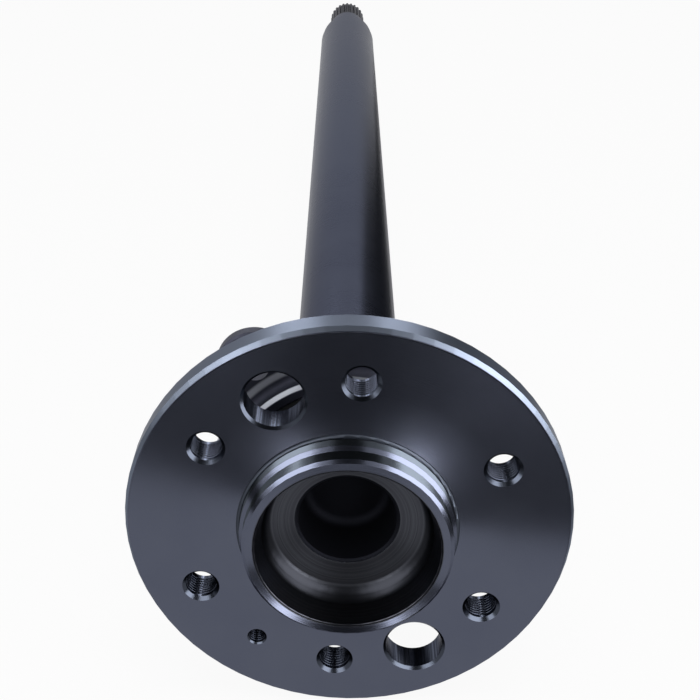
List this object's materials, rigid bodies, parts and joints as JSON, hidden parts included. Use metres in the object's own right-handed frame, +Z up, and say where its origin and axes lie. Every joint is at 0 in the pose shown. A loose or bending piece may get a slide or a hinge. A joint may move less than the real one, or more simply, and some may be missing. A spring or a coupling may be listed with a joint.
{
  "type": "drive shaft",
  "caption": "Rear axle drive shaft with a forged wheel flange, a hub pilot and a splined inner end, in its taper roller bearing housing.",
  "frame": {"origin": "centre of the flange's wheel face, on the shaft's axis", "axes": "+Y runs along the shaft from the wheel face to the splined end, +Z is up and +X is to the right as seen from the wheel"},
  "size_m": [0.1746, 0.907, 0.1746],
  "materials": {
    "shaft_steel": "dark blue-grey, satin turned",
    "cast_housing": "dark casting, machined on its faces",
    "bearing_steel": "ground",
    "roller_steel": "polished",
    "cage_steel": "pressed sheet, dull",
    "spacer_steel": "ground",
    "collar_steel": "turned",
    "sensor_steel": "dull, dark",
    "spring_steel": "drawn wire",
    "seal_rubber": "matt",
    "ring_rubber": "matt"
  },
  "bodies": {
    "housing": {"bearing_housing": "cast_housing", "outer_row_cup": "bearing_steel", "inner_row_cup": "bearing_steel", "outer_seal": "seal_rubber", "inner_seal": "seal_rubber", "outer_seal_garter_spring": "spring_steel", "inner_seal_garter_spring": "spring_steel", "tube_seal_ring": "ring_rubber"},
    "shaft": {"axle_shaft": "shaft_steel", "outer_row_cone": "bearing_steel", "inner_row_cone": "bearing_steel", "cone_spacer": "spacer_steel", "retaining_collar": "collar_steel", "sensor_ring": "sensor_steel"},
    "outer_cage": {"outer_row_cage": "cage_steel", "outer_row_roller_01": "roller_steel", "outer_row_roller_02": "roller_steel", "outer_row_roller_03": "roller_steel", "outer_row_roller_04": "roller_steel", "outer_row_roller_05": "roller_steel", "outer_row_roller_06": "roller_steel", "outer_row_roller_07": "roller_steel", "outer_row_roller_08": "roller_steel", "outer_row_roller_09": "roller_steel", "outer_row_roller_10": "roller_steel", "outer_row_roller_11": "roller_steel", "outer_row_roller_12": "roller_steel", "outer_row_roller_13": "roller_steel", "outer_row_roller_14": "roller_steel", "outer_row_roller_15": "roller_steel", "outer_row_roller_16": "roller_steel", "outer_row_roller_17": "roller_steel", "outer_row_roller_18": "roller_steel"},
    "inner_cage": {"inner_row_cage": "cage_steel", "inner_row_roller_01": "roller_steel", "inner_row_roller_02": "roller_steel", "inner_row_roller_03": "roller_steel", "inner_row_roller_04": "roller_steel", "inner_row_roller_05": "roller_steel", "inner_row_roller_06": "roller_steel", "inner_row_roller_07": "roller_steel", "inner_row_roller_08": "roller_steel", "inner_row_roller_09": "roller_steel", "inner_row_roller_10": "roller_steel", "inner_row_roller_11": "roller_steel", "inner_row_roller_12": "roller_steel", "inner_row_roller_13": "roller_steel", "inner_row_roller_14": "roller_steel", "inner_row_roller_15": "roller_steel", "inner_row_roller_16": "roller_steel", "inner_row_roller_17": "roller_steel", "inner_row_roller_18": "roller_steel"}
  },
  "joints": [
    {"name": "shaft_spin", "type": "hinge", "parent": "housing", "child": "shaft", "pos_m": [0, 0, 0], "axis": [0, 1, 0], "continuous": true},
    {"name": "outer_cage_spin", "type": "hinge", "parent": "housing", "child": "outer_cage", "pos_m": [0, 0, 0], "axis": [0, 1, 0], "continuous": true},
    {"name": "inner_cage_spin", "type": "hinge", "parent": "housing", "child": "inner_cage", "pos_m": [0, 0, 0], "axis": [0, 1, 0], "continuous": true}
  ],
  "couplings": [
    {"joint": "outer_cage_spin", "follows": "shaft_spin", "ratio": 0.4354},
    {"joint": "inner_cage_spin", "follows": "shaft_spin", "ratio": 0.4354}
  ]
}
